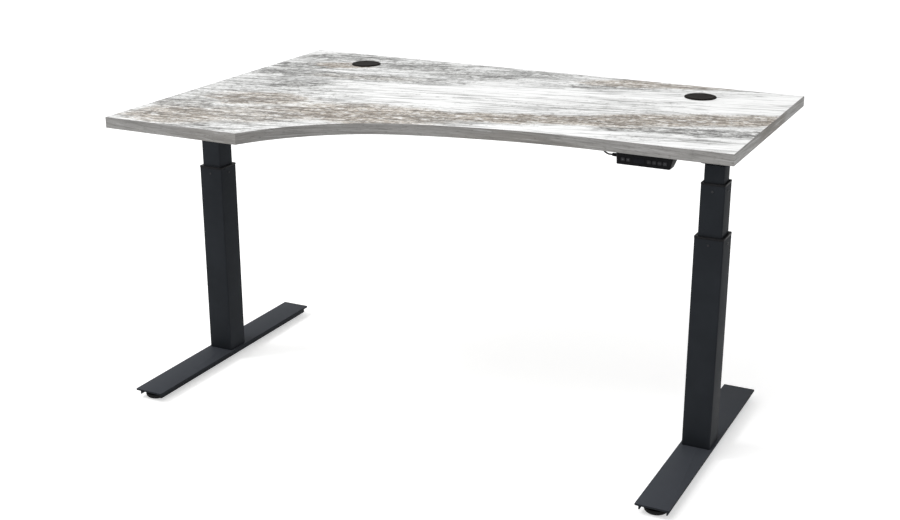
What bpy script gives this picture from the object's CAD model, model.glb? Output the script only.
"""Looks of the height adjustable standing desk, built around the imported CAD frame."""

import math

import bmesh
import bpy
from mathutils import Euler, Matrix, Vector


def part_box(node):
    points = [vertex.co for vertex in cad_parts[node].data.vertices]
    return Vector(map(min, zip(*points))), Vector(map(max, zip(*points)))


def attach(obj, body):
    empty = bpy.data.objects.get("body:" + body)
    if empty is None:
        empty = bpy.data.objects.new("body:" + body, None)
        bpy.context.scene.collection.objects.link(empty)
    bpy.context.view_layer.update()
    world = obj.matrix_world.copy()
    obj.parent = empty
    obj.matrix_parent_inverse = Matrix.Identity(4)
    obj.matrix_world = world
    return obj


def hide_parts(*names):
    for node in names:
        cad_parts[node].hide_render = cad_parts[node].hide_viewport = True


bl_info = {
    "name": "Standing desk",
    "version": (1, 0, 0),
    "blender": (4, 5, 0),
    "location": "3D View > Sidebar > Standing desk",
    "description": "Builds the detailed pieces and finishes of an electric sit-stand desk",
    "category": "Add Mesh",
}

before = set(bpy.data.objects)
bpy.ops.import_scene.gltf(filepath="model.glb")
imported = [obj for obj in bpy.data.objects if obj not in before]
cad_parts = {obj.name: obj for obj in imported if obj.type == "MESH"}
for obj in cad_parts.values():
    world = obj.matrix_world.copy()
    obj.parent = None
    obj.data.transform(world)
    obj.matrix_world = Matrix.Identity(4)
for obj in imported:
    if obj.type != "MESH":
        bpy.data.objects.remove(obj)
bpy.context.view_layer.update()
SIDES = (("left", -1), ("right", 1))
ENDS = ("front", "back")


# ---------------- settings
def length_setting(name, description, default):
    return bpy.props.FloatProperty(name=name, description=description, default=default, unit="LENGTH")


def angle_setting(name, description, degrees):
    return bpy.props.FloatProperty(name=name, description=description, default=math.radians(degrees),
                                   subtype="ANGLE")


def colour_setting(name, description, default):
    return bpy.props.FloatVectorProperty(name=name, description=description, default=default,
                                         subtype="COLOR", size=3)


class DeskSizes(bpy.types.PropertyGroup):
    """Sizes of the desk's visible pieces."""

    wing_width: length_setting("Wing width", "Straight front of the wing", 0.394)
    main_depth: length_setting("Main depth", "Depth of the desktop beside the wing", 0.691)
    wing_turn: angle_setting("Wing turn", "Heading of the front edge where it leaves the wing", 64)
    sweep_turn: angle_setting("Sweep turn", "Heading of the front edge where its two arcs meet", 17)
    sweep_join: length_setting("Sweep join", "Where the two arcs meet, along the width", -0.06)
    sweep_end: length_setting("Sweep end", "Where the front edge becomes straight", 0.45)
    band_thick: length_setting("Edge band", "Thickness of the glued edge band", 0.002)
    grommet_hole: length_setting("Grommet hole", "Diameter of the holes for the grommets", 0.076)
    screw_head: length_setting("Screw head", "Diameter of a pan-head screw", 0.0095)
    motor_lead: length_setting("Motor lead", "Diameter of a motor lead", 0.005)
    handset_lead: length_setting("Handset lead", "Diameter of the handset's lead", 0.004)


class DeskFinishes(bpy.types.PropertyGroup):
    """Colours of the desk's finishes."""

    whitewash: colour_setting("Whitewash", "Pale paint of the printed wood", (0.93, 0.935, 0.93))
    weathered_grey: colour_setting("Weathered grey", "Dark grain of the printed wood", (0.088, 0.087, 0.083))
    bare_tan: colour_setting("Bare tan", "Bare wood under the worn paint", (0.50, 0.425, 0.34))
    edge_grey: colour_setting("Edge grey", "Ground colour of the edge band", (0.195, 0.191, 0.184))
    coat: colour_setting("Powder coat", "Charcoal coat of the steel frame", (0.0155, 0.0175, 0.0205))
    plastic: colour_setting("Black plastic", "Moulded plastic pieces", (0.0042, 0.0044, 0.0048))
    grommet: colour_setting("Grommet brown-black", "Grommet plastic", (0.0070, 0.0050, 0.0038))


# ---------------- node helpers
class Wire:
    """One output socket that takes part in sums, each of which adds a Math node."""

    def __init__(self, tree, socket):
        self.tree, self.socket = tree, socket

    def math(self, operation, *others):
        return node(self.tree, "ShaderNodeMath", {"operation": operation},
                    dict(enumerate((self, *others))))["Value"]

    def __add__(self, other):
        return self.math("ADD", other)

    def __sub__(self, other):
        return self.math("SUBTRACT", other)

    def __mul__(self, other):
        return self.math("MULTIPLY", other)

    def ramp(self, low, high, out_low=0.0, out_high=1.0):
        """Smooth step from out_low at low to out_high at high."""
        return node(self.tree, "ShaderNodeMapRange", {"interpolation_type": "SMOOTHSTEP"}, {
            "Value": self, "From Min": low, "From Max": high,
            "To Min": out_low, "To Max": out_high})["Result"]


class Made:
    """A node that was just added, whose outputs are read by name."""

    def __init__(self, tree, item):
        self.tree, self.item = tree, item

    def __getitem__(self, name):
        return Wire(self.tree, next(s for s in self.item.outputs if s.name == name and s.enabled))


def fill(tree, socket, value):
    """Links the socket to a Wire, or sets it to a plain value."""
    if isinstance(value, Wire):
        tree.links.new(value.socket, socket)
    else:
        socket.default_value = value


def node(tree, kind, settings=None, inputs=None):
    """Adds a node, makes its settings, then fills its sockets."""
    item = tree.nodes.new(kind)
    for name, value in (settings or {}).items():
        setattr(item, name, value)
    for key, value in (inputs or {}).items():
        if isinstance(key, int):
            socket = item.inputs[key]
        else:
            socket = next(s for s in item.inputs if s.name == key and s.enabled)
        fill(tree, socket, value)
    return Made(tree, item)


def mix_colour(tree, factor, first, second):
    below, above = (v if isinstance(v, Wire) else (*v[:3], 1.0) for v in (first, second))
    return node(tree, "ShaderNodeMix", {"data_type": "RGBA"}, {
        "Factor": factor, "A": below, "B": above})["Result"]


class Finish:
    """A new material with a Principled shader, in which patterns are laid out on Object coordinates."""

    def __init__(self, name, **fixed):
        self.material = bpy.data.materials.new(name)
        self.material.use_nodes = True
        self.tree = self.material.node_tree
        self.shader = self.tree.nodes["Principled BSDF"]
        for socket, value in fixed.items():
            self.feed(socket.replace("_", " "), value)
        self.place = node(self.tree, "ShaderNodeTexCoord")["Object"]

    def mapped(self, scale=(1, 1, 1), location=(0, 0, 0), vector=None, kind="POINT", turn=0.0):
        return node(self.tree, "ShaderNodeMapping", {"vector_type": kind}, {
            "Vector": vector or self.place, "Scale": scale, "Location": location,
            "Rotation": (0.0, 0.0, turn)})["Vector"]

    def pattern(self, vector, stretch, offset, detail=3.0, rough=0.6):
        """Noise on the vector, with its own number of features per metre in X and in Y."""
        return self.noise(self.mapped((*stretch, 1), (*offset, 0), vector), detail=detail, rough=rough)

    def noise(self, vector=None, scale=1.0, detail=3.0, rough=0.55):
        return node(self.tree, "ShaderNodeTexNoise", None, {
            "Vector": vector or self.mapped(), "Scale": scale, "Detail": detail, "Roughness": rough})["Fac"]

    def split(self, vector):
        made = node(self.tree, "ShaderNodeSeparateXYZ", None, {"Vector": vector})
        return made["X"], made["Y"], made["Z"]

    def join(self, x, y, z):
        return node(self.tree, "ShaderNodeCombineXYZ", None, {"X": x, "Y": y, "Z": z})["Vector"]

    def feed(self, socket, value):
        fill(self.tree, self.shader.inputs[socket], value)

    def layered(self, ground, *layers):
        """Lays each (amount, colour) over what is there so far."""
        for amount, layer in layers:
            ground = mix_colour(self.tree, amount, ground, layer)
        return ground

    def done(self, base, roughness, height=None, distance=0.0, strength=0.5):
        """Feeds colour, roughness and relief to the shader, and returns the material."""
        self.feed("Base Color", base)
        self.feed("Roughness", roughness)
        if height:
            self.feed("Normal", node(self.tree, "ShaderNodeBump", None, {
                "Height": height, "Distance": distance, "Strength": strength})["Normal"])
        return self.material


# ---------------- finishes
# Worn areas of the printed wood: centre, half length and half width along the grain, how worn, how tan.
WORN_AREAS = (
    (-0.58, -0.20, 0.44, 0.66, 0.60, 0.25),
    (-0.42, 0.36, 0.66, 0.28, 0.52, 0.10),
    (0.12, 0.43, 0.50, 0.17, 0.45, 0.20),
    (-0.20, -0.20, 0.40, 0.18, 0.95, 0.70),
    (-0.22, -0.21, 0.28, 0.13, 1.00, 0.8),
    (-0.08, -0.13, 0.24, 0.09, 0.95, 0.7),
    (0.10, -0.10, 0.26, 0.08, 1.00, 0.7),
    (0.25, -0.04, 0.24, 0.08, 1.00, 0.9),
    (0.38, 0.00, 0.22, 0.08, 1.00, 1.0),
    (0.50, 0.07, 0.22, 0.09, 1.00, 1.0),
    (0.63, 0.13, 0.22, 0.09, 1.00, 1.0),
    (0.74, 0.18, 0.18, 0.08, 1.00, 1.0),
    (0.50, -0.04, 0.20, 0.05, 1.00, 0.2),
    (0.66, 0.00, 0.24, 0.065, 1.00, 0.0),
    (0.74, 0.03, 0.14, 0.05, 1.00, 0.0),
    (0.60, -0.10, 0.26, 0.045, 0.42, 0.0),
    (-0.62, -0.41, 0.24, 0.15, 0.95, 0.6),
    (-0.68, -0.31, 0.18, 0.12, 0.90, 0.3),
    (-0.45, -0.32, 0.24, 0.16, 0.90, 0.5),
    (-0.54, -0.16, 0.24, 0.12, 0.90, 0.7),
    (-0.54, 0.04, 0.13, 0.08, 1.00, 0.0),
    (-0.66, 0.17, 0.28, 0.07, 1.00, 0.1),
    (-0.42, 0.21, 0.28, 0.07, 1.00, 0.3),
    (-0.30, 0.23, 0.30, 0.09, 0.75, 0.1),
    (-0.66, 0.28, 0.17, 0.09, 1.00, 0.1),
    (-0.57, 0.33, 0.13, 0.06, 1.00, 1.0),
    (-0.60, 0.45, 0.28, 0.10, 0.90, 0.1),
    (-0.36, 0.41, 0.26, 0.10, 0.90, 0.2),
    (-0.15, 0.37, 0.22, 0.10, 0.85, 0.2),
    (-0.03, 0.45, 0.24, 0.08, 0.85, 0.1),
    (0.30, 0.46, 0.22, 0.07, 0.90, 1.0),
    (0.24, 0.39, 0.18, 0.06, 0.85, 0.2),
    (0.46, 0.49, 0.16, 0.05, 0.80, 0.9),
)
GRAIN_TURN = math.radians(12)
BACKER_BELOW, PRINT_ABOVE = 0.757, 0.758  # height of the board's underside, which has a plain backer


def whitewashed_print(colours):
    """Printed wood laminate: white paint worn off grey and tan boards, with the grain along the board."""
    made = Finish("whitewashed_wood_print", IOR=1.46)
    tree = made.tree
    height = made.split(made.place)[2]
    along, across, _ = made.split(made.mapped(turn=-GRAIN_TURN))
    flat = made.join(along, across, 0.0)
    drift = made.noise(made.mapped((1.1, 2.6, 1), vector=flat), detail=2.0) - 0.5
    warp = made.noise(made.mapped((5, 9, 1), (3, 1, 0), flat), detail=2.0) - 0.5
    grain_place = made.join(along, across + drift * 0.05 + warp * 0.006, 0.0)

    def pattern(scale_along, scale_across, offset, *texture):
        return made.pattern(grain_place, (scale_along, scale_across), offset, *texture)

    soft = pattern(9, 18, (7, 2), 4.0) - 0.5
    torn = pattern(34, 70, (3, 8), 3.0) - 0.5
    x, y, _ = made.split(made.place)
    loose = made.join(x + soft * 0.20 + torn * 0.06, y + soft * 0.12 + torn * 0.03, 0.0)
    worn, tan = None, None
    for cx, cy, half_along, half_across, amount, tone in WORN_AREAS:
        inside = made.mapped((half_along, half_across, 1), (cx, cy, 0), loose, "TEXTURE", GRAIN_TURN)
        blob = node(tree, "ShaderNodeTexGradient", {"gradient_type": "SPHERICAL"}, {"Vector": inside})["Fac"]
        blob = blob.ramp(0.0, 0.62)
        wear, tint = blob * amount, blob * (amount * tone)
        worn = wear if worn is None else worn.math("MAXIMUM", wear)
        tan = tint if tan is None else tan.math("MAXIMUM", tint)
    broad = pattern(1.6, 7, (11, 4), 3.0).ramp(0.42, 0.66)
    worn = worn.math("MAXIMUM", broad * 0.45)

    board = pattern(1.5, 24, (2, 5), 2.0)
    ridge = pattern(1.7, 26, (0, 0), 1.5, 0.5)
    second_ridge = pattern(2.6, 34, (7, 7), 1.5, 0.5)
    fine_ridge = pattern(4.0, 75, (8, 3), 2.0, 0.6)
    hair = pattern(9, 240, (5, 0), 4.0, 0.7)
    fleck = pattern(46, 62, (1, 8), 5.0, 0.72)
    crackle = pattern(90, 110, (4, 9), 5.0, 0.70)
    tick = pattern(110, 30, (2, 6), 3.0)
    patch = pattern(11, 24, (6, 9), 3.0)

    tan_tone = pattern(7, 34, (9, 3), 4.0)
    tan_colour = mix_colour(tree, tan_tone.ramp(0.35, 0.65), colours.bare_tan, (0.55, 0.49, 0.42))
    grey_colour = mix_colour(tree, tan_tone.ramp(0.35, 0.65), (0.30, 0.30, 0.29), (0.47, 0.47, 0.455))
    bare = mix_colour(tree, tan.ramp(0.1, 0.6), grey_colour, tan_colour)
    dark = mix_colour(tree, tan.ramp(0.2, 0.8) * 0.7, colours.weathered_grey, (0.15, 0.12, 0.09))

    veil = (board.ramp(0.36, 0.62) * 0.5 + 0.5) * (patch.ramp(0.34, 0.60) * 0.6 + 0.4) * worn
    peeled = (crackle * 0.5 + fleck * 0.5 + worn * 0.17).ramp(0.54, 0.68)
    hair_line = hair.ramp(0.53, 0.63)
    fine_line = (fine_ridge + worn * 0.03).ramp(0.55, 0.62)
    ridge_line = (ridge - 0.5).math("ABSOLUTE").ramp(0.006, 0.030, 1.0, 0.0)
    second_line = (second_ridge - 0.47).math("ABSOLUTE").ramp(0.004, 0.024, 1.0, 0.0)
    wide_line = (second_ridge + worn * 0.03).ramp(0.60, 0.70)
    fibre = hair.ramp(0.42, 0.58) * 0.7 + 0.3
    broken = (patch.ramp(0.36, 0.56) * 0.7 + 0.3) * fibre
    jitter = made.join(along + (crackle - 0.5) * 0.016, across + (fleck - 0.5) * 0.012, 0.0)
    crack = node(tree, "ShaderNodeTexVoronoi", {"feature": "DISTANCE_TO_EDGE"}, {
        "Vector": made.mapped((62, 90, 1), vector=jitter), "Scale": 1.0})["Distance"]
    crack = crack.ramp(0.03, 0.15, 1.0, 0.0)
    mark = (fleck + worn * 0.08).ramp(0.59, 0.67)
    chalk = pattern(26, 70, (6, 1), 5.0, 0.72).ramp(0.54, 0.63)
    top = made.layered(
        colours.whitewash,
        (veil * 0.42, bare),
        (peeled * (worn * 0.80 + 0.06), bare),
        (hair_line * (worn * 0.36 + 0.15), dark),
        (fine_line * (worn * 0.55 + 0.20), dark),
        (ridge_line * broken * (worn * 0.80 + 0.60), dark),
        (second_line * broken * (worn * 0.95 + 0.38), dark),
        (wide_line * fibre * (worn * 0.72 + 0.14), dark),
        (crack * (patch.ramp(0.40, 0.60) * 0.7 + 0.3) * (tan * 0.62 + worn * 0.22), dark),
        (mark * (worn * 0.74 + 0.12), dark),
        (fleck.ramp(0.63, 0.69) * 0.40, dark),
        ((tick + worn * 0.06).ramp(0.62, 0.74) * (worn * 0.6), dark),
        (chalk * (worn * 0.80), colours.whitewash))

    backer_tone = made.noise(made.mapped((3, 60, 1), (2, 2, 0)), detail=4.0).ramp(0.3, 0.7)
    backer = mix_colour(tree, backer_tone, (0.42, 0.41, 0.39), (0.52, 0.51, 0.485))
    return made.done(
        mix_colour(tree, height.ramp(BACKER_BELOW, PRINT_ABOVE), backer, top),
        hair.ramp(0.3, 0.7, 0.44, 0.56) + peeled * 0.06,
        ridge_line * -0.6 + hair_line * -0.5 + peeled * -0.4 + fleck * 0.15, 0.00025, 0.6)


def edge_band_print(colours):
    """Wood-print edge band: mid grey with dark broken streaks that run along the edge."""
    made = Finish("weathered_edge_print", IOR=1.46)
    u, v, _ = made.split(node(made.tree, "ShaderNodeUVMap", {"uv_map": "Edge"})["UV"])
    slant = made.join(u, v + u * 0.03, 0.0)

    def pattern(scale_along, scale_across, offset, *texture):
        return made.pattern(slant, (scale_along, scale_across), offset, *texture)

    tone = pattern(2.2, 30, (0, 0))
    streak = pattern(8, 190, (4, 1), 4.0, 0.65)
    fine = pattern(36, 620, (2, 5), 4.0, 0.65)
    fleck = pattern(60, 240, (8, 3), 4.0, 0.7)
    chip = pattern(130, 420, (5, 9), 4.0, 0.7)
    x, y, _ = made.split(made.place)
    side_stain = (y - 0.175).math("ABSOLUTE").ramp(0.08, 0.17, 1.0, 0.0) * x.ramp(0.755, 0.758)
    brown = (pattern(1.6, 8, (9, 2), 2.0).ramp(0.50, 0.66) * 0.40).math("MAXIMUM", side_stain * 0.85)
    ground = made.layered(
        colours.edge_grey,
        (tone.ramp(0.35, 0.65), (0.245, 0.24, 0.232)),
        (brown, (0.135, 0.118, 0.098)),
        (streak.ramp(0.52, 0.64) * 0.70, (0.12, 0.117, 0.11)),
        (streak.ramp(0.47, 0.36) * 0.50, (0.36, 0.36, 0.355)),
        (fine.ramp(0.52, 0.66) * 0.50, (0.12, 0.117, 0.11)),
        (fleck.ramp(0.57, 0.67) * 0.65, (0.085, 0.08, 0.075)),
        (chip.ramp(0.60, 0.70) * 0.60, (0.07, 0.066, 0.06)))
    return made.done(ground, streak.ramp(0.3, 0.7, 0.46, 0.60), fine * 0.4 + streak * 0.6, 0.00018, 0.6)


def shade(colour_of, factor, lift=0.0):
    return tuple(channel * factor + lift for channel in colour_of)


def powder_coat(colours):
    """Fine-textured powder coat, a little lighter in places, with a thin pale film on faces that look up."""
    made = Finish("charcoal_powder_coat", Specular_IOR_Level=0.03)
    peel = made.noise(scale=900, detail=2.0)
    cloud = made.noise(scale=9, detail=3.0)
    speck = made.noise(scale=2600, detail=1.0)
    coat = mix_colour(made.tree, cloud.ramp(0.3, 0.7), colours.coat, shade(colours.coat, 1.22))
    upward = made.split(node(made.tree, "ShaderNodeNewGeometry")["True Normal"])[2].ramp(0.5, 0.95)
    return made.done(
        mix_colour(made.tree, upward * (cloud * 0.3 + 0.7), coat, (0.055, 0.060, 0.070)),
        cloud.ramp(0.3, 0.7, 0.46, 0.54) + peel * 0.05, peel * 0.75 + speck * 0.25, 0.00006)


def moulded_plastic(name, base, roughness, grain, depth):
    """Spark-textured moulded plastic."""
    made = Finish(name, Specular_IOR_Level=0.05)
    spark = made.noise(scale=grain, detail=2.0, rough=0.6)
    haze = made.noise(scale=24, detail=3.0)
    mottled = mix_colour(made.tree, haze.ramp(0.35, 0.7) * 0.7, base, shade(base, 1.35, 0.002))
    return made.done(mottled, haze.ramp(0.3, 0.7, roughness - 0.04, roughness + 0.05), spark, depth, 0.6)


def turned_metal(name, base, roughness):
    """Machined metal with fine turning marks around Z and a thin film of grease."""
    made = Finish(name, Metallic=1.0)
    rings = made.noise(made.mapped((6, 6, 2600)), detail=2.0)
    film = made.noise(scale=30, detail=4.0)
    greased = mix_colour(made.tree, film.ramp(0.35, 0.7), base, shade(base, 0.78))
    return made.done(greased, film.ramp(0.3, 0.7, roughness - 0.06, roughness + 0.1), rings, 0.00003)


def display_glass(_):
    """Smoked display window."""
    made = Finish("smoked_display", Specular_IOR_Level=0.08)
    dust = made.noise(scale=700, detail=3.0)
    clean, dusty = (0.003, 0.0035, 0.005), (0.008, 0.009, 0.011)
    return made.done(mix_colour(made.tree, dust.ramp(0.5, 0.8), clean, dusty),
                     dust.ramp(0.4, 0.8, 0.14, 0.24))


def floor_paint(_):
    """Pale studio floor that fades evenly into its own brightness."""
    made = Finish("pale_floor", Specular_IOR_Level=0.1, Emission_Color=(1, 1, 1, 1), Emission_Strength=0.50)
    tone = made.noise(scale=0.8, detail=2.0)
    return made.done(mix_colour(made.tree, tone, (0.80, 0.80, 0.80), (0.815, 0.815, 0.815)), 0.9)


# Material name, colour (or the setting that holds it), roughness, size and depth of the texture.
PLASTICS = {
    "plastic": ("black_moulded_plastic", "plastic", 0.46, 1500, 0.00004),
    "nylon": ("black_nylon", (0.010, 0.010, 0.011), 0.38, 2200, 0.00002),
    "grommet": ("grommet_plastic", "grommet", 0.6, 1300, 0.00005),
    "keys": ("soft_key_rubber", (0.020, 0.020, 0.021), 0.62, 2600, 0.00002),
    "jacket": ("cable_jacket", (0.012, 0.012, 0.012), 0.5, 900, 0.00003),
    "sole": ("glide_rubber", (0.010, 0.010, 0.010), 0.68, 700, 0.00006),
    "legend": ("key_legend_ink", (0.055, 0.057, 0.06), 0.5, 1800, 0.00001),
}
METALS = {
    "steel": ("turned_steel", (0.56, 0.57, 0.58), 0.3),
    "screw": ("black_oxide_screw", (0.045, 0.045, 0.048), 0.38),
    "zinc": ("zinc_plated_screw", (0.62, 0.63, 0.64), 0.32),
    "bronze": ("nut_bronze", (0.50, 0.34, 0.15), 0.34),
}
OTHERS = {"wood": whitewashed_print, "edge": edge_band_print, "coat": powder_coat, "lens": display_glass,
          "floor": floor_paint}
MATERIALS = {}


def finish(name):
    """The named material, made once."""
    if name not in MATERIALS:
        colours = bpy.context.scene.desk_finishes
        if name in PLASTICS:
            label, base, *texture = PLASTICS[name]
            base = getattr(colours, base) if isinstance(base, str) else base
            MATERIALS[name] = moulded_plastic(label, base, *texture)
        elif name in METALS:
            MATERIALS[name] = turned_metal(*METALS[name])
        else:
            MATERIALS[name] = OTHERS[name](colours)
    return MATERIALS[name]


# ---------------- mesh helpers
def settle(piece, body, slot, material, *nodes, sharp=35):
    """Gives a finished piece its material, shading, body, slot and the CAD nodes it stands for."""
    if material:
        piece.data.materials.clear()
        piece.data.materials.append(finish(material))
    piece.data.shade_smooth()
    piece.data.set_sharp_from_angle(angle=math.radians(sharp))
    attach(piece, body)
    if nodes:
        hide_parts(*nodes)


def linked(name, mesh):
    piece = bpy.data.objects.new(name, mesh)
    bpy.context.scene.collection.objects.link(piece)
    return piece


def from_bmesh(name, bm, recalc=True):
    if recalc:
        bmesh.ops.recalc_face_normals(bm, faces=bm.faces)
    mesh = bpy.data.meshes.new(name)
    bm.to_mesh(mesh)
    bm.free()
    return linked(name, mesh)


def loft(name, rings, wrap=False):
    """Skins closed rings of equal length. The ends are capped, or joined to each other with wrap."""
    bm = bmesh.new()
    verts = [[bm.verts.new(point) for point in ring] for ring in rings]
    count = len(rings[0])
    pairs = list(zip(verts, verts[1:]))
    if wrap:
        pairs.append((verts[-1], verts[0]))
    for low, high in pairs:
        for i in range(count):
            j = (i + 1) % count
            bm.faces.new((low[i], low[j], high[j], high[i]))
    if not wrap:
        bm.faces.new(verts[0])
        bm.faces.new(verts[-1])
    return from_bmesh(name, bm)


def circle(centre, radius, steps):
    return [(centre[0] + radius * math.cos(a), centre[1] + radius * math.sin(a))
            for a in (2 * math.pi * i / steps for i in range(steps))]


def level(loop, z):
    """The loop's points at one height."""
    return [(x, y, z) for x, y in loop]


def turned(name, profile, centre, steps, wrap=False):
    """A turned piece about Z: profile points are (radius, z), the first and last near the axis."""
    return loft(name, [level(circle(centre, r, steps), z) for r, z in profile], wrap)


def rounded_loop(centre, width, depth, radius, steps=6):
    cx, cy = centre
    points = []
    for quarter, (sx, sy) in enumerate(((1, 1), (-1, 1), (-1, -1), (1, -1))):
        for i in range(steps + 1):
            angle = (quarter + i / steps) * math.pi / 2
            points.append((cx + (sx * (width / 2 - radius) + radius * math.cos(angle)),
                           cy + (sy * (depth / 2 - radius) + radius * math.sin(angle))))
    return points


def arris(low, high, radius, steps=3):
    """(inset, z) pairs of a wall with rounded lower and upper edges."""
    quarter = [(radius * (1 - math.sin(a)), radius * (1 - math.cos(a)))
               for a in (math.pi / 2 * i / steps for i in range(steps + 1))]
    lower = [(inset, low + rise) for inset, rise in quarter]
    upper = [(inset, high - rise) for inset, rise in reversed(quarter)]
    return lower + upper


def slab(name, width, depth, corner, low, high, radius, centre):
    """A rounded plate that lies flat, with softened edges."""
    return loft(name, [
        level(rounded_loop(centre, width - 2 * inset, depth - 2 * inset, max(corner - inset, 0.0002)), z)
        for inset, z in arris(low, high, radius)])


def square_tube(name, side, wall, corner, low, high, rim, centre):
    """A rolled square tube with softened rims."""
    bore = side - 2 * wall
    outside = [(side - 2 * inset, z, corner - inset) for inset, z in arris(low, high, rim, 2)]
    inside = [(bore, high - rim / 2, corner - wall), (bore, low + rim / 2, corner - wall)]
    rings = [level(rounded_loop(centre, size, size, max(radius, 0.0008), 7), z)
             for size, z, radius in outside + inside]
    return loft(name, rings, wrap=True)


def applied(piece):
    """A new plain piece in place of this one, with its modifiers applied."""
    name = piece.name
    bpy.context.view_layer.update()
    graph = bpy.context.evaluated_depsgraph_get()
    mesh = bpy.data.meshes.new_from_object(piece.evaluated_get(graph))
    bpy.data.objects.remove(piece)
    mesh.name = name
    return linked(name, mesh)


def refined(name, cad_node, body, material, bevel, segments=2):
    """Settles a welded copy of a CAD node's mesh, with softened edges, in the node's place."""
    bm = bmesh.new()
    bm.from_mesh(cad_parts[cad_node].data)
    bmesh.ops.remove_doubles(bm, verts=bm.verts, dist=1e-6)
    bmesh.ops.dissolve_limit(bm, angle_limit=math.radians(0.5), verts=bm.verts, edges=bm.edges)
    piece = from_bmesh(name, bm, recalc=False)
    soften = piece.modifiers.new("Soften", "BEVEL")
    soften.width = bevel
    soften.segments = segments
    soften.limit_method = "ANGLE"
    soften.angle_limit = math.radians(38)
    soften.use_clamp_overlap = True
    settle(applied(piece), body, cad_node, material, cad_node)


def extent(cad_node):
    """The low and high corner of a CAD node, and its centre in plan."""
    low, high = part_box(cad_node)
    return low, high, ((low.x + high.x) / 2, (low.y + high.y) / 2)


def centre_of(cad_node):
    return extent(cad_node)[2]


def threaded_rod(name, centre, radius, low, high, pitch, depth, bore=0.0, steps=20):
    """A rod with a rolled thread, open along its bore if it has one."""
    cx, cy = centre
    count = int((high - low) / (pitch / 6))
    rings = []
    for step in range(count + 1):
        z = low + (high - low) * step / count
        ring = []
        for i in range(steps):
            turn = i / steps
            wave = abs(((z - low) / pitch - turn) % 1.0 * 2 - 1)
            fade = min(1.0, (high - z) / pitch, (z - low) / pitch + 0.2)
            r = radius - depth * min(max(wave * 1.8 - 0.4, 0.0), 1.0) * fade
            ring.append((cx + r * math.cos(2 * math.pi * turn), cy + r * math.sin(2 * math.pi * turn), z))
        rings.append(ring)
    if bore:
        rings += [level(circle(centre, bore, steps), z) for z in (high, low)]
    return loft(name, rings, wrap=bool(bore))


def merged(name, pieces):
    """Several pieces as the loose parts of one."""
    bm = bmesh.new()
    for piece in pieces:
        bm.from_mesh(piece.data)
        bpy.data.objects.remove(piece)
    return from_bmesh(name, bm, recalc=False)


# ---------------- geometry nodes helpers
def new_tree(name, **inputs):
    """A geometry tree with a Geometry input and output and the named inputs."""
    tree = bpy.data.node_groups.new(name, "GeometryNodeTree")
    for label, kind in {"Geometry": "Geometry", **inputs}.items():
        tree.interface.new_socket(label, in_out="INPUT", socket_type=f"NodeSocket{kind}")
    tree.interface.new_socket("Geometry", in_out="OUTPUT", socket_type="NodeSocketGeometry")
    return tree, node(tree, "NodeGroupInput")


def close_tree(tree, geometry, material):
    """Realizes the instances, sets the material and joins the tree's output."""
    real = node(tree, "GeometryNodeRealizeInstances", None, {"Geometry": geometry})["Geometry"]
    coated = node(tree, "GeometryNodeSetMaterial", None, {"Geometry": real, "Material": material})["Geometry"]
    node(tree, "NodeGroupOutput", None, {"Geometry": coated})
    return tree


def cylinder(tree, sides, radius, depth):
    return node(tree, "GeometryNodeMeshCylinder", {"fill_type": "NGON"}, {
        "Vertices": sides, "Radius": radius, "Depth": depth})["Mesh"]


def cut(tree, body, tool):
    return node(tree, "GeometryNodeMeshBoolean", {"operation": "DIFFERENCE"}, {
        "Mesh 1": body, "Mesh 2": tool})["Mesh"]


def set_on(tree, points, instance, **turn):
    return node(tree, "GeometryNodeInstanceOnPoints", None, {
        "Points": points, "Instance": instance, **turn})["Instances"]


def moved(tree, geometry, offset):
    return node(tree, "GeometryNodeTransform", None, {
        "Geometry": geometry, "Translation": offset})["Geometry"]


def points_of(tree, mesh):
    return node(tree, "GeometryNodeMeshToPoints", None, {"Mesh": mesh})["Points"]


def run_tree(piece, tree, **values):
    """Puts the tree on the piece with its inputs set, and turns the result into a plain mesh."""
    modifier = piece.modifiers.new(tree.name, "NODES")
    modifier.node_group = tree
    for item in tree.interface.items_tree:
        if item.in_out == "INPUT" and item.name in values:
            modifier[item.identifier] = values[item.name]
    return applied(piece)


def point_cloud(name, places):
    """A mesh of loose points, each with a direction that its instance faces."""
    mesh = bpy.data.meshes.new(name)
    mesh.from_pydata([place for place, _ in places], [], [])
    facing = mesh.attributes.new("facing", "FLOAT_VECTOR", "POINT")
    for item, (_, direction) in zip(facing.data, places):
        item.vector = direction
    return linked(name, mesh)


def screw_tree(material):
    """Pan-head screws with a six-lobed drive recess on every point, turned to face its direction."""
    tree, source = new_tree("pan_head_screws", Diameter="Float")
    width = source["Diameter"]
    body = node(tree, "GeometryNodeMeshBoolean", {"operation": "UNION"}, {
        "Mesh": cylinder(tree, 24, width * 0.5, width * 0.28)})
    tree.links.new(cylinder(tree, 24, width * 0.38, width * 0.42).socket, body.item.inputs["Mesh"])
    lift = node(tree, "ShaderNodeCombineXYZ", None, {"Z": width * 0.18})["Vector"]
    drilled = cut(tree, body["Mesh"], moved(tree, cylinder(tree, 6, width * 0.22, width * 0.3), lift))
    facing = node(tree, "GeometryNodeInputNamedAttribute", {"data_type": "FLOAT_VECTOR"},
                  {"Name": "facing"})["Attribute"]
    turn = node(tree, "FunctionNodeAlignRotationToVector", {"axis": "Z"}, {"Vector": facing})["Rotation"]
    screws = set_on(tree, points_of(tree, source["Geometry"]), drilled, Rotation=turn)
    return close_tree(tree, screws, material)


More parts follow.
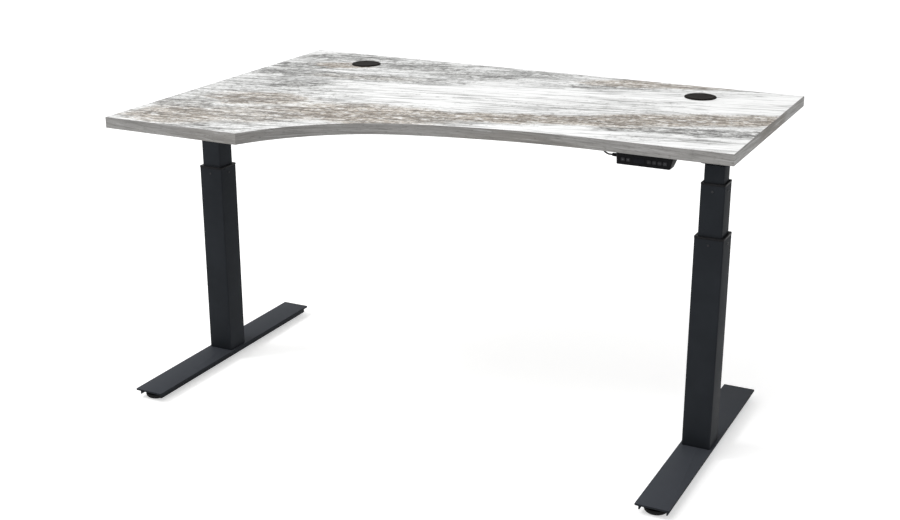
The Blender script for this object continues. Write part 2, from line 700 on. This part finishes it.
def tube_tree(material):
    """A round lead that follows the curve, with flat ends."""
    tree, source = new_tree("round_lead", Diameter="Float", Sides="Int")
    profile = node(tree, "GeometryNodeCurvePrimitiveCircle", None, {
        "Resolution": source["Sides"], "Radius": source["Diameter"] * 0.5})["Curve"]
    skin = node(tree, "GeometryNodeCurveToMesh", None, {
        "Curve": source["Geometry"], "Profile Curve": profile, "Fill Caps": True})["Mesh"]
    return close_tree(tree, skin, material)


def clip_tree(material):
    """Saddle clips spaced along the curve, each a short sleeve round the lead."""
    tree, source = new_tree("lead_clips", Count="Int", Diameter="Float", Start="Float", End="Float")
    size = source["Diameter"]
    part = node(tree, "GeometryNodeTrimCurve", None, {
        "Curve": source["Geometry"], "Start": source["Start"], "End": source["End"]})["Curve"]
    stops = node(tree, "GeometryNodeCurveToPoints", {"mode": "COUNT"}, {
        "Curve": part, "Count": source["Count"]})
    ring = cut(tree, cylinder(tree, 20, size * 0.72, 0.007), cylinder(tree, 20, size * 0.53, 0.02))
    return close_tree(tree, set_on(tree, stops["Points"], ring, Rotation=stops["Rotation"]), material)


def rib_tree(material):
    """Equal ribs set around a circle."""
    tree, source = new_tree("ribs_on_circle", Count="Int", Radius="Float", Size="Vector", Centre="Vector")
    path = node(tree, "GeometryNodeCurvePrimitiveCircle", None, {
        "Resolution": source["Count"], "Radius": source["Radius"]})["Curve"]
    stops = node(tree, "GeometryNodeCurveToPoints", {"mode": "EVALUATED"}, {"Curve": path})
    bar = node(tree, "GeometryNodeMeshCube", None, {"Size": source["Size"]})["Mesh"]
    placed = set_on(tree, stops["Points"], bar, Rotation=stops["Rotation"])
    return close_tree(tree, moved(tree, placed, source["Centre"]), material)


def slat_tree(material):
    """A row of equal bars, such as cooling louvres."""
    tree, source = new_tree("row_of_slats", Count="Int", Start="Vector", Step="Vector", Size="Vector")
    row = node(tree, "GeometryNodeMeshLine", {"mode": "OFFSET"}, {
        "Count": source["Count"], "Start Location": source["Start"], "Offset": source["Step"]})["Mesh"]
    bar = node(tree, "GeometryNodeMeshCube", None, {"Size": source["Size"]})["Mesh"]
    return close_tree(tree, set_on(tree, points_of(tree, row), bar), material)


TREES = {}


def tree_for(maker, material):
    key = (maker.__name__, material)
    if key not in TREES:
        TREES[key] = maker(finish(material))
    return TREES[key]


def add_screws(name, places, diameter, body, slot):
    """Pan-head screws at (place, direction) pairs, as one piece."""
    screws = run_tree(point_cloud(name, places), tree_for(screw_tree, "screw"), Diameter=diameter)
    settle(screws, body, slot, None)


def blend(first, last, start, end, t):
    """The point at t on the line that has first at start and last at end."""
    return first * ((end - t) / (end - start)) + last * ((t - start) / (end - start))


def smooth_route(points, steps=10):
    """Points of a centripetal curve through the given ones."""
    pts = [Vector(p) for p in points]
    pts = [pts[0] * 2 - pts[1], *pts, pts[-1] * 2 - pts[-2]]
    route = []
    for p0, p1, p2, p3 in zip(pts, pts[1:], pts[2:], pts[3:]):
        t0 = 0.0
        t1 = t0 + max((p1 - p0).length, 1e-9) ** 0.5
        t2 = t1 + max((p2 - p1).length, 1e-9) ** 0.5
        t3 = t2 + max((p3 - p2).length, 1e-9) ** 0.5
        for i in range(steps):
            t = t1 + (t2 - t1) * i / steps
            a1, a2, a3 = blend(p0, p1, t0, t1, t), blend(p1, p2, t1, t2, t), blend(p2, p3, t2, t3, t)
            route.append(blend(blend(a1, a2, t0, t2, t), blend(a2, a3, t1, t3, t), t1, t2, t))
    route.append(pts[-2])
    return route


def route_curve(name, route):
    curve = bpy.data.curves.new(name, "CURVE")
    curve.dimensions = "3D"
    spline = curve.splines.new("POLY")
    spline.points.add(len(route) - 1)
    for point, place in zip(spline.points, route):
        point.co = (*place, 1.0)
    return linked(name, curve)


# ---------------- desktop outline
def arc_between(start, heading, end, end_heading, steps):
    """Points on the curve that leaves start on one heading and reaches end on another."""
    ahead = Vector((math.cos(heading), math.sin(heading)))
    aside = Vector((math.sin(heading), -math.cos(heading)))
    chord = Vector(end) - Vector(start)
    turn = heading - end_heading
    points = []
    for i in range(1, steps + 1):
        angle = turn * i / steps
        points.append(Vector(start) + ahead * (chord.dot(ahead) * math.sin(angle) / math.sin(turn))
                      + aside * (chord.dot(aside) * (1 - math.cos(angle)) / (1 - math.cos(turn))))
    return points


def desk_outline(sizes):
    low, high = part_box("edge_band")
    front_main = high.y - sizes.main_depth
    wing_end = Vector((low.x + sizes.wing_width, low.y))
    meet = Vector((sizes.sweep_join,
                   front_main - (sizes.sweep_end - sizes.sweep_join) * math.tan(sizes.sweep_turn / 2)))
    sweep_end = Vector((sizes.sweep_end, front_main))
    return [
        Vector((low.x, low.y)), wing_end,
        *arc_between(wing_end, sizes.wing_turn, meet, sizes.sweep_turn, 72),
        *arc_between(meet, sizes.sweep_turn, sweep_end, 0.0, 36),
        Vector((high.x, front_main)), Vector((high.x, high.y)), Vector((low.x, high.y)),
    ]


def inset_loop(loop, distance):
    inner = []
    for i, point in enumerate(loop):
        before, after = loop[i - 1], loop[(i + 1) % len(loop)]
        sides = [Vector((-(b - a).y, (b - a).x)).normalized() for a, b in ((before, point), (point, after))]
        mitre = (sides[0] + sides[1]).normalized()
        inner.append(point + mitre * (distance / mitre.dot(sides[0])))
    return inner


# ---------------- operators
FLOOR_REACH = 40.0
# Name, place, power in watts and diameter.
LAMPS = (("key_light", (-3.6, -2.2, 4.6), 95, 1.6), ("top_light", (-0.3, -1.0, 4.8), 50, 3.0))
LAMP_AIM = Vector((0, 0, 0.4))
CAMERA_PLACE, CAMERA_LENS = (1.541, -3.192, 1.583), 55.4
CAMERA_PITCH, CAMERA_YAW = 19.07, 26.45  # degrees down, and degrees to the left of +Y
GLUE_LINE = 0.00008  # gap between the board and its edge band
DOWN = (0, 0, -1)
DRIVE_PIECES = (("spindle_support", "steel"), ("lower_nut", "bronze"), ("mid_bearing", "steel"),
                ("upper_nut", "bronze"), ("gearmotor", "steel"))
SPINDLE_PITCH = 0.004
SET_SCREW_DROP, SET_SCREW_HEAD = 0.014, 0.0055
BORE_CLEARANCE = 0.0003


class DESK_OT_stage(bpy.types.Operator):
    """Sets out the floor, the lights and the camera."""

    bl_idname = "desk.stage"
    bl_label = "Stage"

    def execute(self, context):
        scene = context.scene
        mesh = bpy.data.meshes.new("floor")
        corners = [(x * FLOOR_REACH, y * FLOOR_REACH, 0) for x, y in ((-1, -1), (1, -1), (1, 1), (-1, 1))]
        mesh.from_pydata(corners, [], [(0, 1, 2, 3)])
        mesh.materials.append(finish("floor"))
        linked("floor", mesh)

        world = bpy.data.worlds.new("studio")
        scene.world = world
        world.use_nodes = True
        tree = world.node_tree
        backdrop = tree.nodes["Background"].inputs
        sphere = node(tree, "ShaderNodeTexCoord")["Generated"]
        towards = node(tree, "ShaderNodeSeparateXYZ", None, {"Vector": sphere})
        sky = towards["X"].ramp(-0.7, 0.7, 1.06, 0.40)
        horizon = towards["Z"].math("ABSOLUTE").ramp(0.09, 0.16, 1.0, 0.0)
        fill(tree, backdrop["Color"], (1, 1, 1, 1))
        fill(tree, backdrop["Strength"], sky.math("MAXIMUM", horizon))

        for name, place, power, size in LAMPS:
            light = bpy.data.lights.new(name, "AREA")
            light.shape = "DISK"
            light.size = size
            light.energy = power
            lamp = linked(name, light)
            lamp.location = place
            lamp.rotation_euler = (LAMP_AIM - Vector(place)).to_track_quat("-Z", "Y").to_euler()

        camera = linked("camera", bpy.data.cameras.new("camera"))
        camera.data.sensor_width = 36.0
        camera.data.lens = CAMERA_LENS
        camera.data.clip_end = 200.0
        camera.location = CAMERA_PLACE
        camera.rotation_euler = Euler((math.radians(90 - CAMERA_PITCH), 0.0, math.radians(CAMERA_YAW)), "XYZ")
        scene.camera = camera
        scene.view_settings.view_transform = "Standard"
        return {"FINISHED"}


class DESK_OT_desktop(bpy.types.Operator):
    """Builds the laminate board and its edge band."""

    bl_idname = "desk.desktop"
    bl_label = "Desktop"

    def execute(self, context):
        sizes = context.scene.desk_sizes
        outline = desk_outline(sizes)
        low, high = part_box("edge_band")
        self.board(sizes, outline, low.z, high.z)
        self.band(sizes, outline, low.z, high.z)
        return {"FINISHED"}

    def board(self, sizes, outline, bottom, top):
        edge = inset_loop(outline, sizes.band_thick + GLUE_LINE)
        bm = bmesh.new()
        holes = [circle(centre_of(f"{side}_grommet_sleeve"), sizes.grommet_hole / 2, 64) for side, _ in SIDES]
        walls = []
        for loop in (edge, *holes):
            levels = [[bm.verts.new(spot) for spot in level(loop, z)] for z in (bottom, top)]
            for i in range(len(loop)):
                j = (i + 1) % len(loop)
                bm.faces.new((levels[0][i], levels[0][j], levels[1][j], levels[1][i]))
            walls.append(levels)
        for rings in zip(*walls):
            edges = [bm.edges.get(pair) for ring in rings for pair in zip(ring, ring[1:] + ring[:1])]
            bmesh.ops.triangle_fill(bm, use_beauty=True, use_dissolve=False, edges=edges)
        settle(from_bmesh("desktop_board", bm), "top", "desktop", "wood", "desktop", sharp=30)

    def band(self, sizes, outline, bottom, top):
        wall = [(sizes.band_thick, bottom), *arris(bottom, top, 0.0009), (sizes.band_thick, top)]
        rings = [level(inset_loop(outline, inset), z) for inset, z in wall]
        piece = loft("desktop_edge_band", rings, wrap=True)
        travel = [0.0]
        for a, b in zip(outline, outline[1:] + outline[:1]):
            travel.append(travel[-1] + (b - a).length)
        count = len(outline)
        layer = piece.data.uv_layers.new(name="Edge")
        for face in piece.data.polygons:
            ring = [piece.data.loops[i].vertex_index % count for i in face.loop_indices]
            closing = 0 in ring and count - 1 in ring
            for i, spot in zip(face.loop_indices, ring):
                vertex = piece.data.vertices[piece.data.loops[i].vertex_index].co
                along = travel[count] if closing and spot == 0 else travel[spot]
                layer.data[i].uv = (along, vertex.z)
        settle(piece, "top", "edge_band", "edge", "edge_band", sharp=30)


class DESK_OT_grommets(bpy.types.Operator):
    """Builds the two cable grommets with their lift-out caps."""

    bl_idname = "desk.grommets"
    bl_label = "Grommets"

    def execute(self, context):
        bore = context.scene.desk_sizes.grommet_hole / 2 - BORE_CLEARANCE
        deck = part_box("edge_band")[1].z
        for side, _ in SIDES:
            name = f"{side}_grommet_sleeve"
            low, high, centre = extent(name)
            flange = (high.x - low.x) / 2
            rim, lip = high.z, flange - 0.005
            sleeve = turned(f"{side}_grommet_ring", [
                (bore - 0.002, low.z), (bore - 0.0004, low.z), (bore, low.z + 0.0006), (bore, deck + 0.0002),
                (flange - 0.0002, deck + 0.0002), (flange, deck + 0.0007), (flange - 0.0002, rim - 0.0007),
                (flange - 0.0012, rim - 0.0001), (flange - 0.002, rim), (lip + 0.0004, rim),
                (lip, rim - 0.0004), (lip, deck + 0.0007), (bore - 0.002, deck + 0.0007)],
                centre, 96, wrap=True)
            settle(sleeve, "top", name, "grommet", name, sharp=30)
            name = f"{side}_grommet_cap"
            low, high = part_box(name)
            edge = (high.x - low.x) / 2
            plug = bore - 0.005
            cap = turned(f"{side}_grommet_lid", [
                (0.001, low.z), (plug - 0.0015, low.z), (plug - 0.0015, low.z + 0.004), (plug, low.z + 0.005),
                (plug, deck + 0.001), (edge - 0.0002, deck + 0.001), (edge, deck + 0.0014),
                (edge, high.z - 0.001), (edge - 0.0004, high.z - 0.0003), (edge - 0.0013, high.z),
                (edge - 0.004, high.z), (edge - 0.0052, high.z - 0.0004), (edge - 0.012, high.z - 0.0005),
                (0.001, high.z - 0.0005)], centre, 96)
            settle(cap, name, name, "grommet", name, sharp=30)
        return {"FINISHED"}


class DESK_OT_feet(bpy.types.Operator):
    """Builds the foot plates, the channels under them and the levelling glides."""

    bl_idname = "desk.feet"
    bl_label = "Feet and glides"

    def execute(self, context):
        for side, _ in SIDES:
            name = f"{side}_foot_plate"
            low, high, centre = extent(name)
            plate = slab(f"{side}_foot_top", high.x - low.x, high.y - low.y, 0.003, low.z, high.z,
                         0.0012, centre)
            settle(plate, "base", name, "coat", name)
            refined(f"{side}_foot_rail", f"{side}_foot_channel", "base", "coat", 0.0011)
            for end in ENDS:
                self.glide(f"{side}_{end}_glide")
        return {"FINISHED"}

    def glide(self, name):
        low, high, centre = extent(name)
        radius = (high.x - low.x) / 2
        top, recess, sunk = 0.014, 0.013, 0.004  # pad height, radius and floor of its recess
        pad = turned(f"{name}_pad", [
            (0.001, 0.0), (radius - 0.0085, 0.0), (radius - 0.0070, 0.0004), (radius - 0.0045, 0.0016),
            (radius - 0.0024, 0.0034), (radius - 0.0008, 0.0058), (radius, 0.0082), (radius, top - 0.0014),
            (radius - 0.0004, top - 0.0004), (radius - 0.0014, top), (recess + 0.0008, top),
            (recess, top - 0.0008), (recess, sunk + 0.0006), (recess - 0.0006, sunk), (0.001, sunk)],
            centre, 96)
        settle(pad, name, name, "sole", name)
        ribs = run_tree(point_cloud(f"{name}_grip", []), tree_for(rib_tree, "sole"), Count=48,
                        Radius=radius - 0.0004, Size=(0.0010, 0.0010, 0.0040), Centre=(*centre, top - 0.0038))
        settle(ribs, name, name, None)
        nut = turned(f"{name}_nut", [
            (0.0080, sunk - 0.0002), (0.0086, sunk + 0.0002), (0.0086, sunk + 0.0014),
            (0.0080, sunk + 0.0018)], centre, 6)
        settle(nut, name, name, "zinc")
        stud = threaded_rod(f"{name}_stud", centre, 0.0049, sunk + 0.0004, high.z, 0.0015, 0.0008, steps=24)
        settle(stud, name, name, "zinc")


class DESK_OT_columns(bpy.types.Operator):
    """Builds the three-stage columns: tubes, guide collars, set screws and drive train."""

    bl_idname = "desk.columns"
    bl_label = "Columns"

    def execute(self, context):
        for side, _ in SIDES:
            stages = (("outer", "base", 0.002, 0.0042), ("mid", f"{side}_mid", 0.0018, 0.004))
            for stage, body, wall, corner in stages:
                name = f"{side}_{stage}_tube"
                low, high, centre = extent(name)
                tube = square_tube(f"{side}_{stage}_stage", high.x - low.x, wall, corner, low.z, high.z,
                                   0.0006, centre)
                settle(tube, body, name, "coat", name)
                refined(f"{side}_{stage}_guide", f"{side}_{stage}_collar", body, "nylon", 0.0007, 3)
                self.set_screws(side, stage, body)
            refined(f"{side}_inner_stage", f"{side}_inner_tube", "top", "coat", 0.0004)
            self.drive(side)
        return {"FINISHED"}

    def set_screws(self, side, stage, body):
        """Small button screws through the front and both side faces, just under the rim."""
        low, high, (cx, cy) = extent(f"{side}_{stage}_tube")
        half, z = (high.x - low.x) / 2, high.z - SET_SCREW_DROP
        places = [((cx + x * half, cy + y * half, z), (x, y, 0)) for x, y in ((0, -1), (-1, 0), (1, 0))]
        add_screws(f"{side}_{stage}_set_screws", places, SET_SCREW_HEAD, body, f"{side}_{stage}_tube")

    def drive(self, side):
        """Cuts the spindles' threads. The other inner pieces stay as they are, in better materials."""
        for name, material in DRIVE_PIECES:
            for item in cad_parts[f"{side}_{name}"].material_slots:
                item.material = finish(material)
        name = f"{side}_hollow_spindle"
        low, high, centre = extent(name)
        rod = threaded_rod(f"{side}_hollow_screw_rod", centre, 0.010, low.z, high.z - 0.005,
                           SPINDLE_PITCH, 0.0013, 0.0071)
        head = turned(f"{side}_hollow_screw_head", [
            (0.0071, high.z - 0.0052), (0.0146, high.z - 0.0052), (0.015, high.z - 0.0048),
            (0.015, high.z - 0.0004), (0.0146, high.z), (0.0071, high.z)], centre, 40, wrap=True)
        settle(merged(f"{side}_hollow_screw", [rod, head]), name, name, "steel", name)
        name = f"{side}_drive_spindle"
        low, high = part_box(name)
        rod = threaded_rod(f"{side}_drive_screw_rod", centre, 0.006, low.z, high.z - 0.015,
                           SPINDLE_PITCH, 0.001)
        hub = turned(f"{side}_drive_screw_hub", [
            (0.001, high.z - 0.0155), (0.0086, high.z - 0.0155), (0.009, high.z - 0.015),
            (0.009, high.z - 0.0006), (0.0085, high.z), (0.001, high.z)], centre, 32)
        settle(merged(f"{side}_drive_screw", [rod, hub]), name, name, "steel", name)


class DESK_OT_underframe(bpy.types.Operator):
    """Builds the side brackets, head plates and telescopic rails, with their screws."""

    bl_idname = "desk.underframe"
    bl_label = "Top frame"

    def execute(self, context):
        for side, _ in SIDES:
            refined(f"{side}_side_bracket_coated", f"{side}_side_bracket", "top", "coat", 0.0009)
            refined(f"{side}_head_plate_coated", f"{side}_head_plate", "top", "coat", 0.0006)
        for end in ENDS:
            for piece in (f"{end}_rail_sleeve", f"{end}_rail_slider"):
                refined(f"{piece}_coated", piece, "top", "coat", 0.0006)
        self.screws(context.scene.desk_sizes.screw_head)
        return {"FINISHED"}

    def screws(self, diameter):
        """Screws through the brackets and rails into the board, and through the head plates."""
        spots = []
        for side, _ in SIDES:
            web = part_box(f"{side}_side_bracket")[1].z - 0.0037
            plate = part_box(f"{side}_head_plate")[0].z
            cx, cy = centre_of(f"{side}_inner_tube")
            spots += [(cx + dx, y, web) for y in (0.02, 0.16, 0.25, 0.40) for dx in (-0.016, 0.016)]
            spots += [(cx + dx, cy + dy, plate) for dx in (-0.0285, 0.0285) for dy in (-0.004, 0.033)]
        for end in ENDS:
            for piece, stations in (("sleeve", (-0.60, -0.35, -0.10)), ("slider", (0.35, 0.60))):
                low, _, (_, y) = extent(f"{end}_rail_{piece}")
                spots += [(x, y, low.z) for x in stations]
        add_screws("frame_screws", [(spot, DOWN) for spot in spots], diameter, "top", "left_side_bracket")


class DESK_OT_electrics(bpy.types.Operator):
    """Builds the control box, its inlet, and the leads with their clips."""

    bl_idname = "desk.electrics"
    bl_label = "Control box and leads"

    def execute(self, context):
        sizes = context.scene.desk_sizes
        refined("control_box_case", "control_box", "top", "plastic", 0.0012, 3)
        refined("mains_inlet_socket", "mains_inlet", "top", "nylon", 0.0005)
        low, high, (middle, y) = extent("control_box")
        louvres = run_tree(point_cloud("control_box_louvres", []), tree_for(slat_tree, "plastic"), Count=15,
                           Start=(low.x + 0.078, y, low.z), Step=(0.007, 0, 0), Size=(0.0022, 0.052, 0.0012))
        settle(louvres, "top", "control_box", None)
        ears = [((x, y, high.z - 0.003), DOWN) for x in (low.x + 0.008, high.x - 0.008)]
        add_screws("control_box_screws", ears, sizes.screw_head, "top", "control_box")
        self.motor_leads(sizes.motor_lead, middle, high.z - 0.017)
        self.handset_lead(sizes.handset_lead, low.y, high.z)
        return {"FINISHED"}

    def motor_leads(self, diameter, middle, entry_z):
        """A lead from each gearmotor's head, along the board, into an end of the control box."""
        for side, sign in SIDES:
            cx, cy = centre_of(f"{side}_inner_tube")
            entry = middle + sign * 0.110
            route = smooth_route([
                (cx, cy + 0.0142, 0.7316), (cx, cy + 0.0142, 0.734), (cx, cy + 0.0165, 0.7381),
                (cx, cy + 0.0215, 0.7403), (cx, cy + 0.034, 0.7403), (cx - sign * 0.003, -0.071, 0.7408),
                (cx - sign * 0.020, -0.055, 0.7410), (cx - sign * 0.042, -0.055, 0.7412),
                (cx - sign * 0.080, -0.045, 0.7475), (cx - sign * 0.130, -0.008, 0.7495),
                (entry + sign * 0.090, 0.0, 0.7495), (entry + sign * 0.045, 0.0, 0.7465),
                (entry + sign * 0.024, 0.0, entry_z + 0.002), (entry - sign * 0.005, 0.0, entry_z)])
            self.lead(f"{side}_motor_lead", route, diameter, 3 if sign > 0 else 7, 0.20, 0.86)

    def handset_lead(self, diameter, box_front, board):
        """A lead from the handset's end, back under the board, into the front of the control box."""
        y, z, entry_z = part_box("handset_body")[0].y + 0.020, board - 0.011, board - 0.017
        left = centre_of("handset_display")[0] + 0.013 - 0.070
        route = smooth_route([
            (left + 0.0052, y, z), (left - 0.010, y, z), (left - 0.024, y, z),
            (left - 0.034, y + 0.004, z + 0.002), (left - 0.047, y + 0.015, board - 0.0045),
            (left - 0.061, y + 0.028, board - 0.0026), (0.360, box_front - 0.050, board - 0.0026),
            (0.336, box_front - 0.026, board - 0.005), (0.330, box_front - 0.012, entry_z + 0.002),
            (0.330, box_front + 0.005, entry_z)])
        self.lead("handset_lead", route, diameter, 3, 0.30, 0.80)

    def lead(self, name, route, diameter, clips, start, end):
        skin = run_tree(route_curve(f"{name}_jacket", route), tree_for(tube_tree, "jacket"),
                        Diameter=diameter, Sides=20)
        settle(skin, "top", name, None, name)
        fasten = run_tree(route_curve(f"{name}_clips", route), tree_for(clip_tree, "nylon"),
                          Count=clips, Diameter=diameter, Start=start, End=end)
        settle(fasten, "top", name, None)


class DESK_OT_handset(bpy.types.Operator):
    """Builds the handset with its keys, legends and display window."""

    bl_idname = "desk.handset"
    bl_label = "Handset"

    def execute(self, context):
        refined("handset_shell", "handset_body", "top", "plastic", 0.0008, 3)
        refined("handset_window", "handset_display", "top", "lens", 0.0003)
        for key in ("up", "down", "memory_1", "memory_2", "memory_3", "memory_set"):
            name = f"button_{key}"
            refined(f"{name}_key", name, name, "keys", 0.0006, 3)
            self.legend(name, key)
        return {"FINISHED"}

    def legend(self, name, key):
        """A raised mark on the key: an arrow, one to three dots, or a ring."""
        low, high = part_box(name)
        cx, cz = (low.x + high.x) / 2, (low.z + high.z) / 2
        lift = 0.00012

        def standing(shape, depth):
            return [(x, low.y - depth, z) for x, z in shape]

        if key == "memory_set":
            outer, inner = circle((cx, cz), 0.0024, 24), circle((cx, cz), 0.0017, 24)
            rings = [standing(*side) for side in (
                (outer, -lift), (outer, lift), (inner, lift), (inner, -lift))]
            settle(loft(f"{name}_mark", rings, wrap=True), name, name, "legend")
            return
        if key in ("up", "down"):
            way = 1 if key == "up" else -1
            foot = cz - way * 0.0014
            shapes = [[(cx - 0.0026, foot), (cx + 0.0026, foot), (cx, cz + way * 0.0022)]]
        else:
            count = int(key[-1])
            shapes = [circle((cx + (i - (count - 1) / 2) * 0.0024, cz), 0.0008, 12) for i in range(count)]
        marks = [loft(f"{name}_mark_{i}", [standing(shape, -lift), standing(shape, lift)])
                 for i, shape in enumerate(shapes)]
        settle(merged(f"{name}_mark", marks), name, name, "legend")


class DESK_PT_panel(bpy.types.Panel):
    """Lists the steps that build the desk."""

    bl_idname = "DESK_PT_panel"
    bl_label = "Standing desk"
    bl_space_type = "VIEW_3D"
    bl_region_type = "UI"
    bl_category = "Standing desk"

    def draw(self, context):
        for step in STEPS:
            self.layout.operator(step.bl_idname)
        for settings in (context.scene.desk_sizes, context.scene.desk_finishes):
            for name in settings.__annotations__:
                self.layout.prop(settings, name)


STEPS = (DESK_OT_stage, DESK_OT_desktop, DESK_OT_grommets, DESK_OT_feet, DESK_OT_columns, DESK_OT_underframe,
         DESK_OT_electrics, DESK_OT_handset)
CLASSES = (DeskSizes, DeskFinishes, *STEPS, DESK_PT_panel)


def register():
    for item in CLASSES:
        bpy.utils.register_class(item)
    bpy.types.Scene.desk_sizes = bpy.props.PointerProperty(type=DeskSizes)
    bpy.types.Scene.desk_finishes = bpy.props.PointerProperty(type=DeskFinishes)


def unregister():
    del bpy.types.Scene.desk_finishes
    del bpy.types.Scene.desk_sizes
    for item in reversed(CLASSES):
        bpy.utils.unregister_class(item)


def main():
    register()
    for step in STEPS:
        group, name = step.bl_idname.split(".")
        getattr(getattr(bpy.ops, group), name)()


if __name__ == "__main__":
    main()
